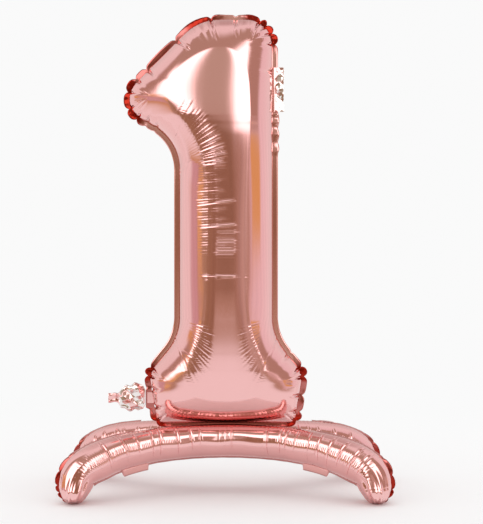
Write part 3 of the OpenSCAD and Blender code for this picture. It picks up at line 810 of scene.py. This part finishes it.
# Colour of the room by the angle round from the front, + to the right, at eye level.
room_round = [
    (-180, (0.60, 0.52, 0.50)), (-150, (0.80, 0.76, 0.74)), (-125, (0.95, 0.95, 0.95)),
    (-100, (0.96, 0.96, 0.96)), (-92, (0.70, 0.52, 0.55)), (-76, (0.66, 0.47, 0.50)),
    (-70, (0.62, 0.44, 0.34)), (-60, (0.56, 0.40, 0.28)), (-54, (0.44, 0.32, 0.19)),
    (-38, (0.37, 0.25, 0.145)), (-18, (0.33, 0.205, 0.125)), (4, (0.285, 0.17, 0.10)),
    (18, (0.34, 0.21, 0.13)), (30, (0.43, 0.32, 0.22)), (36, (0.38, 0.27, 0.18)),
    (44, (0.47, 0.37, 0.29)), (56, (0.56, 0.42, 0.34)), (64, (0.76, 0.62, 0.60)),
    (74, (0.86, 0.78, 0.82)), (90, (0.90, 0.82, 0.86)), (98, (0.93, 0.86, 0.90)),
    (125, (0.95, 0.95, 0.96)), (150, (0.80, 0.76, 0.76)), (180, (0.60, 0.52, 0.50))]


def room_colour(around, up):
    """The room's colour at an angle round and an angle up, in degrees: the eye-level colours,
    with a gold edge on either side, paler below and towards the ceiling and white overhead,
    and two windows whose edges fade."""
    stops = np.array([angle for angle, _ in room_round], float)
    colour = np.stack([np.interp(around, stops, [c[k] for _, c in room_round]) for k in range(3)], -1)

    def over(colour, shade, share):
        """The colour with this share of another shade laid over it."""
        return colour * (1 - share[..., None]) + np.array(shade) * share[..., None]

    lean = around + 1.6 * up
    streak = (0.09 + 0.12 * bell(18, 50, 8, around)) * (1 - smooth(4, 14, up))
    streak = 1 + streak * np.sin(lean * 0.9) * np.sin(lean * 0.37 + 1)
    colour = colour * streak[..., None]
    gold = bell(-69, -60, 4, around) * smooth(-2, 0, up) * (1 - smooth(5, 9, up))
    colour = over(colour, (0.80, 0.55, 0.22), gold)
    gold = bell(70, 90, 5, around) * smooth(-1.5, 0.5, up) * (1 - smooth(4, 7, up))
    colour = over(colour, (0.80, 0.52, 0.18), gold)
    colour = over(colour, (0.50, 0.37, 0.27), bell(-52, 52, 10, around) * (1 - smooth(-6, 1, up)))
    colour = over(colour, (0.49, 0.36, 0.29), bell(-92, 88, 8, around) * smooth(4, 9, up))
    gold = bell(-100, -64, 5, around) * smooth(3, 5, up) * (1 - smooth(7, 10, up))
    colour = over(colour, (0.74, 0.46, 0.18), gold)
    colour = over(colour, (0.56, 0.50, 0.41), bell(-34, 30, 24, around) * smooth(0, 18, up))
    colour = over(colour, (0.50, 0.40, 0.32), bell(-90, 90, 14, around) * smooth(34, 60, up))
    colour = over(colour, (0.96, 0.96, 0.96), smooth(66, 84, up))
    spill = 0.75 * bell(24, 42, 14, around) * smooth(-3, 3, up) * (1 - smooth(5, 9, up))
    colour = over(colour, (0.85, 0.72, 0.68), spill)
    window = bell(-72, -16, 10, around) + bell(18, 57, 10, around)
    window = window * smooth(3, 9, up) * (1 - smooth(44, 54, up))
    return over(colour, (2.4, 2.45, 2.45), window)


room_far = 3900.0
eye_up = 420.0
room_up = np.concatenate([np.linspace(-6, 16, 45), np.linspace(17, 90, 74)])
around, up = np.meshgrid(np.linspace(-180, 180, 361), room_up)
turn = np.radians(around)
lift = np.radians(up)
room_way = np.stack([np.cos(lift) * np.sin(turn), -np.cos(lift) * np.cos(turn), np.sin(lift)], -1)
glowing("room", room_far * room_way + np.array([0, 0, eye_up]), room_colour(around, up))

# The floor in front is white near the balloon and falls away into the dim of the room.
around, share = np.meshgrid(np.linspace(-112, 112, 225), np.linspace(0, 1, 60))
turn = np.radians(around)
near = 1 / np.hypot(np.sin(turn) / 340, np.cos(turn) / 215)
reach = near + (room_far - near) * share ** 2
fade = smooth(420, 3300, reach - near) * bell(-96, 96, 14, around)
slab = (bell(-96, -62, 8, around) * smooth(500, 900, reach - near))[..., None]
far_floor = np.array([0.50, 0.37, 0.27]) + np.array([0.14, 0.04, -0.08]) * slab
fade = fade[..., None]
glowing("dim_floor", np.stack([reach * np.sin(turn), -reach * np.cos(turn), 2.0 + 0 * reach], -1),
        np.array([1.0, 1.04, 1.05]) * (1 - fade) + far_floor * fade)

# Low in front of the middle, the dim of the room stands before the windows: the legs and the
# low stem mirror it, and the flag looks over it.
dim_ahead = 700.0
across, height = np.meshgrid(np.linspace(-620, 620, 125), np.linspace(120, 760, 65))
dim = glowing("low_dim", np.stack([across, 0 * across - dim_ahead, height], -1),
              room_colour(np.degrees(np.arctan2(across, dim_ahead)), 0 * across))
hidden = bell(-480, -165, 50, across) + bell(195, 480, 50, across)
paint_points(dim, "clear", 1 - hidden * bell(150, 560, 100, height))
tree = dim.data.materials[0].node_tree
clear = Wire(tree, None).node("ShaderNodeAttribute", {"attribute_name": "clear"}, {}, 2)
glow = Wire(tree, tree.nodes["Emission"].outputs[0])
gone = clear.node("ShaderNodeBsdfTransparent")
mixed = clear.node("ShaderNodeMixShader", {}, {0: clear, 1: glow, 2: gone})
tree.links.new(mixed.socket, tree.nodes["Material Output"].inputs["Surface"])

# The floor fades into the backdrop's white beyond the balloon's shadow.
floor = grid_mesh("floor", np.array([[(-9000, -9000, -0.3), (9000, -9000, -0.3)],
                                     [(-9000, 9000, -0.3), (9000, 9000, -0.3)]], float))
floor_paint = bpy.data.materials.new("floor_paint")
floor_paint.use_nodes = True
tree = floor_paint.node_tree
floor_shader = tree.nodes["Principled BSDF"]
floor_shader.inputs["Base Color"].default_value = (0.92, 0.92, 0.92, 1)
floor_shader.inputs["Roughness"].default_value = 0.9
floor_shader.inputs["Specular IOR Level"].default_value = 0.0
place = Wire(tree, tree.nodes.new("ShaderNodeTexCoord").outputs["Object"])
away = place.node("ShaderNodeVectorMath", {"operation": "LENGTH"}, {0: place}, 1)
fade = away.node("ShaderNodeMapRange", {"interpolation_type": "SMOOTHSTEP"},
                 {0: away, 1: 0.5, 2: 1.5, 3: 0.0, 4: 1.0})
white = away.node("ShaderNodeEmission", {}, {"Color": (1, 1, 1, 1), "Strength": 0.955})
mixed = away.node("ShaderNodeMixShader", {}, {0: fade, 1: Wire(tree, floor_shader.outputs[0]), 2: white})
tree.links.new(mixed.socket, tree.nodes["Material Output"].inputs["Surface"])
floor.data.materials.append(floor_paint)

lamp_data = bpy.data.lights.new("overhead", "AREA")
lamp_data.shape = "RECTANGLE"
lamp_data.size, lamp_data.size_y = 2.4, 2.4
lamp_data.energy = 10
lamp = bpy.data.objects.new("overhead", lamp_data)
lamp.location = (0, 0.3, 2.8)
lamp.visible_glossy = False
bpy.context.scene.collection.objects.link(lamp)

camera_data = bpy.data.cameras.new("camera")
camera_data.sensor_fit = "HORIZONTAL"
camera_data.angle = 2 * math.atan(0.40595 / 2.4)
camera_data.shift_y = -0.0447
camera = bpy.data.objects.new("camera", camera_data)
camera.location = (0.026, -2.4, 0.419)
camera.rotation_euler = (math.pi / 2, 0, 0)
bpy.context.scene.collection.objects.link(camera)
bpy.context.scene.camera = camera
bpy.context.scene.view_settings.view_transform = "Standard"
